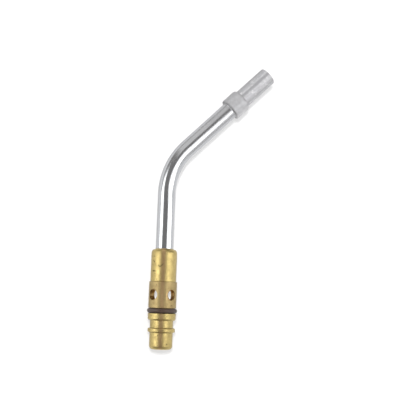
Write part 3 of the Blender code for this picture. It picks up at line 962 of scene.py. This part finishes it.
def neck(material):
    """Bent tube; round the bend it is flattened by a hair, as a drawn bend is."""
    flattening = 0.012
    stations = neck_stations()
    points = []
    turned = []
    rings = []
    for radius in (TUBE_R, TUBE_R - TUBE_WALL):
        travelled = 0.0
        previous = Vector(stations[0][:2])
        for aside, along, lean in stations:
            here = Vector((aside, along))
            travelled += (here - previous).length
            previous = here
            flat = flattening * math.sin(math.pi * lean / BEND_ANGLE)
            rings.append(list(range(len(points), len(points) + FINE)))
            for index in range(FINE):
                angle = WHOLE_TURN * index / FINE
                across = radius * (1 - flat) * math.cos(angle)
                down = radius * (1 + flat * 0.3) * math.sin(angle)
                points.append((aside + across * math.cos(lean), down, along - across * math.sin(lean)))
                turned.append((across, down, travelled))
    outside = rings[:len(stations)]
    inside = rings[len(stations):]
    piece = finish_mesh("neck_drawn", points, skin(outside + inside[::-1]), STEM, turned)
    return show(piece, material, "bright_stainless", "neck_tube")


# ---- burner pieces

def collar(material):
    """Collar over the joint of neck and flame tube, with a rounded shoulder at the flame's side."""
    low, high, outer = reach("burner_collar", BURNER)
    flame_r = reach("flame_tube", BURNER)[2]
    step_at = TUBE_END + 0.15
    shoulder = (0.75, 1.6)
    shoulder_from = high - shoulder[1]
    corners = [
        (flame_r + GAP, step_at, 0.0),
        (TUBE_R + GAP, step_at, 0.0),
        (TUBE_R + GAP, low, 0.1),
        (outer, low, 0.5),
        (outer, shoulder_from, 0.0),
    ]
    outline = rounded(corners, closed=False)
    outline += ellipse((outer - shoulder[0], shoulder_from), shoulder, 5, 90, 12)
    outline.append((flame_r + GAP, high, 0.0))
    piece = lathe("collar_turned", outline, BURNER)
    return show(piece, material, "blasted_stainless", "burner_collar")


def flame_barrel(material):
    piece = plain_ring("flame_barrel", "flame_tube", BURNER, FLAME_BORE_R, (0.08, 0.1, 0.38, 0.2))
    return show(piece, material, "heat_dulled_stainless", "flame_tube")


def vane_section(hub_r, outer):
    """(radius, angle) round the hub and its four vanes, whose tips and roots are rounded."""
    half = 0.43
    rounding = 0.12
    tip = 0.2
    root_angle = 0.34
    steps = 4
    flank_steps = 6
    flank_from = hub_r + rounding
    flank_length = outer - tip - flank_from
    flank = [flank_from + flank_length * (index + 1) / flank_steps for index in range(flank_steps)]
    quarter = math.pi / 4
    section = []
    for vane in range(4):
        centre = vane * math.pi / 2
        for index in range(steps + 1):
            section.append((hub_r, centre - quarter + (quarter - root_angle) * index / steps))
        section += [(radius, centre - math.asin(half / radius)) for radius in flank]
        for index in range(steps + 1):
            section.append((outer, centre + (index / steps - 0.5) * 2 * (half - rounding) / outer))
        section += [(radius, centre + math.asin(half / radius)) for radius in flank[::-1]]
        for index in range(steps):
            section.append((hub_r, centre + root_angle + (quarter - root_angle) * index / steps))
    return section


def vanes(material):
    """Bored hub with four helical vanes."""
    low, high, outer = reach("swirl_vanes", BURNER)
    hub_r = 1.5
    bore_r = 0.8
    section = vane_section(hub_r, outer)
    steps = 48
    twist = math.radians(110)
    points = []
    rings = []
    for bored in (False, True):
        for step in range(steps + 1):
            turn = twist * step / steps
            along = low + (high - low) * step / steps
            rings.append(list(range(len(points), len(points) + len(section))))
            for radius, angle in section:
                size = bore_r if bored else radius
                points.append((size * math.cos(angle + turn), size * math.sin(angle + turn), along))
    outside = rings[:steps + 1]
    inside = rings[steps + 1:]
    piece = finish_mesh("vanes_twisted", points, skin(outside + inside[::-1]), BURNER, sharp=45)
    return show(piece, material, "heat_dulled_stainless", "swirl_vanes")


def spindle(material):
    """Rivet with a domed head at each end."""
    low, high, head_r = reach("vane_spindle", BURNER)
    head = 0.9
    shank_r = 0.5
    shank_from = low + head
    shank_to = high - head
    outline = [(0.0, low, 0.0)]
    outline += ellipse((0.0, shank_from), (head_r, head), -84, -6, 10)
    outline += [(head_r, shank_from, 0.0), (shank_r, shank_from, 0.0)]
    outline += [(shank_r, shank_to, 0.0), (head_r, shank_to, 0.0)]
    outline += ellipse((0.0, shank_to), (head_r, head), 6, 84, 10)
    outline.append((0.0, high, 0.0))
    piece = lathe("spindle_rivet", outline, BURNER, SMALL)
    return show(piece, material, "heat_dulled_stainless", "vane_spindle")


# ---- stage

def floor():
    """White sheet lit softly from behind as well, as on a light table, so shadows stay faint."""
    glow = 0.49
    bpy.ops.mesh.primitive_plane_add(size=8.0)
    plane = bpy.context.active_object
    plane.name = "floor"
    material = bpy.data.materials.new("floor_paper")
    material.use_nodes = True
    tree = material.node_tree
    fibres = add_node(tree, "ShaderNodeTexNoise", {"Scale": 40.0}).outputs["Fac"]
    tones = {"Factor": fibres, 6: (0.36, 0.36, 0.365, 1.0), 7: (0.34, 0.34, 0.34, 1.0)}
    paper = add_node(tree, "ShaderNodeMix", tones, data_type="RGBA").outputs[2]
    inputs = {"Base Color": paper, "Roughness": 0.95, "Specular IOR Level": 0.1}
    inputs.update({"Emission Color": (1.0, 1.0, 1.0, 1.0), "Emission Strength": glow})
    fill(tree, tree.nodes["Principled BSDF"], inputs)
    plane.data.materials.append(material)


# The studio's colour by the height of the direction, from the horizon at 0 to straight up at 1.
SKY = (
    (0.0, (0.95, 0.95, 0.95, 1.0)),
    (0.2, (0.8, 0.8, 0.8, 1.0)),
    (0.42, (0.45, 0.45, 0.45, 1.0)),
    (0.93, (0.309, 0.30, 0.2937, 1.0)),
)
SKY_FRONT_AND_BACK = (0.31, 0.295, 0.28, 1.0)


def world():
    """Studio round the sheet: dark overhead and to the front and back, pale at the sides' horizon."""
    sky = bpy.data.worlds.new("studio")
    bpy.context.scene.world = sky
    sky.use_nodes = True
    tree = sky.node_tree
    way = add_node(tree, "ShaderNodeTexCoord", {}).outputs["Generated"]
    _, ahead, height = add_node(tree, "ShaderNodeSeparateXYZ", {"Vector": way}).outputs
    ramp = add_node(tree, "ShaderNodeValToRGB", {"Fac": height})
    points = ramp.color_ramp.elements
    for index, (position, tone) in enumerate(SKY):
        point = points[index] if index < 2 else points.new(position)
        point.position = position
        point.color = tone
    ahead = add_node(tree, "ShaderNodeMath", {0: ahead}, operation="ABSOLUTE").outputs["Value"]
    limits = {"Value": ahead, "From Min": 0.3, "From Max": 0.65}
    share = add_node(tree, "ShaderNodeMapRange", limits).outputs["Result"]
    tones = {"Factor": share, 6: ramp.outputs["Color"], 7: SKY_FRONT_AND_BACK}
    tone = add_node(tree, "ShaderNodeMix", tones, data_type="RGBA").outputs[2]
    fill(tree, tree.nodes["Background"], {"Color": tone, "Strength": 1.0})


# Softboxes: name, centre, size, turn in degrees and radiance. Lengths are in metres.
SOFTBOX_HEIGHT = 0.15
SOFTBOXES = (
    ("softbox_right", (0.101, -0.025), (0.14, 0.14), 0.0, 2.5),
    ("softbox_right_far", (0.401, 0.0025), (0.46, 0.085), 0.0, 2.5),
    ("softbox_left", (-0.431, -0.0355), (0.56, 0.221), 4.0, 2.7),
    ("softbox_corner", (-0.351, 0.548), (0.242, 1.09), 45.0, 0.72),
    ("softbox_low", (0.516, -0.495), (0.96, 0.80), 0.0, 0.45),
    ("softbox_inner", (0.017, 0.0285), (0.030, 0.012), -8.0, 2.6),
    ("softbox_left_top", (-0.30, 0.112), (0.22, 0.056), 0.0, 1.6),
)
KEY_AT = (-0.12, 0.15, 0.9)
KEY_SIZE = (0.14, 0.14)
KEY_WATTS = 8.5


def panel(name, centre, size, spin, watts):
    """Light panel that faces straight down and isn't seen by the camera."""
    light = bpy.data.lights.new(name, "AREA")
    light.shape = "RECTANGLE"
    light.size = size[0]
    light.size_y = size[1]
    light.energy = watts
    lamp = bpy.data.objects.new(name, light)
    lamp.location = centre
    lamp.rotation_euler = (0.0, 0.0, math.radians(spin))
    lamp.visible_camera = False
    bpy.context.collection.objects.link(lamp)
    return lamp


def lights():
    """Softboxes that the metal mirrors, and a key light for the shadows, kept out of its reflections."""
    for name, centre, size, spin, radiance in SOFTBOXES:
        panel(name, (*centre, SOFTBOX_HEIGHT), size, spin, radiance * math.pi * size[0] * size[1])
    key = panel("key", KEY_AT, KEY_SIZE, 0.0, KEY_WATTS)
    key.visible_glossy = False


CAMERA_FROM_NOSE = (-0.038742, 0.030088, 0.4702)
CAMERA_TURN = (5.151, -7.756, 2.064)
CAMERA_LENS = 75.67


def camera():
    """Camera above the tip: its place in metres from the nose's end, its turn in degrees."""
    data = bpy.data.cameras.new("camera")
    data.lens = CAMERA_LENS
    data.sensor_width = 36.0
    data.clip_start = 0.01
    view = bpy.data.objects.new("camera", data)
    view.location = STEM.translation + Vector(CAMERA_FROM_NOSE)
    view.rotation_euler = tuple(math.radians(angle) for angle in CAMERA_TURN)
    bpy.context.collection.objects.link(view)
    bpy.context.scene.camera = view


def look():
    settings = bpy.context.scene.view_settings
    settings.view_transform = "Standard"
    settings.look = "None"


# ---- build

def build():
    camera()
    floor()
    world()
    lights()
    look()
    turned_brass = brass("brass_turned", light=(0.52, 0.41, 0.165), dark=(0.45, 0.35, 0.14),
                         tarnish=(0.36, 0.27, 0.11), roughness=0.345, scratched=0.5,
                         marks=TURNED_MARKS, radius=6.6)
    mixer_brass = brass("brass_mixer", light=(0.42, 0.325, 0.15), dark=(0.36, 0.27, 0.125),
                        tarnish=(0.31, 0.22, 0.105), roughness=0.42, scratched=0.46,
                        marks=MIXER_MARKS, radius=7.4)
    jet_brass = plain_metal("brass_jet", (0.70, 0.54, 0.26), (0.52, 0.39, 0.18), 0.25, 0.38, 5.0)
    spring = plain_metal("spring_steel", (0.42, 0.42, 0.44), (0.28, 0.28, 0.30), 0.28, 0.42, 4.0)
    mesh_steel = plain_metal("screen_steel", (0.60, 0.60, 0.61), (0.45, 0.45, 0.46), 0.28, 0.42, 6.0)
    bronze = plain_metal("sintered_bronze", (0.50, 0.33, 0.18), (0.22, 0.14, 0.08), 0.6, 0.8, 9.0, 0.00012)
    copper = plain_metal("washer_copper", (0.76, 0.42, 0.28), (0.55, 0.28, 0.18), 0.32, 0.48, 4.0)
    bright = drawn_steel("bright_stainless")
    blasted = blasted_steel("blasted_stainless")
    dulled = flame_steel("heat_dulled_stainless")
    rubber = seal_rubber("nitrile_rubber")
    connector_stem(turned_brass)
    seal(rubber)
    inlet_clip(spring)
    screen(mesh_steel)
    filter_plug(bronze)
    washer(copper)
    jet(jet_brass)
    metering_disc(spring)
    mixer(mixer_brass)
    venturi(jet_brass)
    sleeve(turned_brass)
    neck(bright)
    collar(blasted)
    flame_barrel(dulled)
    vanes(dulled)
    spindle(dulled)
    sleeve_top = reach("tube_sleeve", STEM)[1]
    collar_low, collar_high, _ = reach("burner_collar", BURNER)
    flame_r = reach("flame_tube", BURNER)[2]
    slot = "heat_dulled_stainless"
    fillet_ring("sleeve_braze", STEM, sleeve_top, TUBE_R, 0.55, 0.45, 1, turned_brass, "brass_turned")
    fillet_ring("collar_braze_low", BURNER, collar_low, TUBE_R, 0.5, 0.35, -1, dulled, slot)
    fillet_ring("collar_braze_high", BURNER, collar_high, flame_r, 0.45, 0.4, 1, dulled, slot)


build()
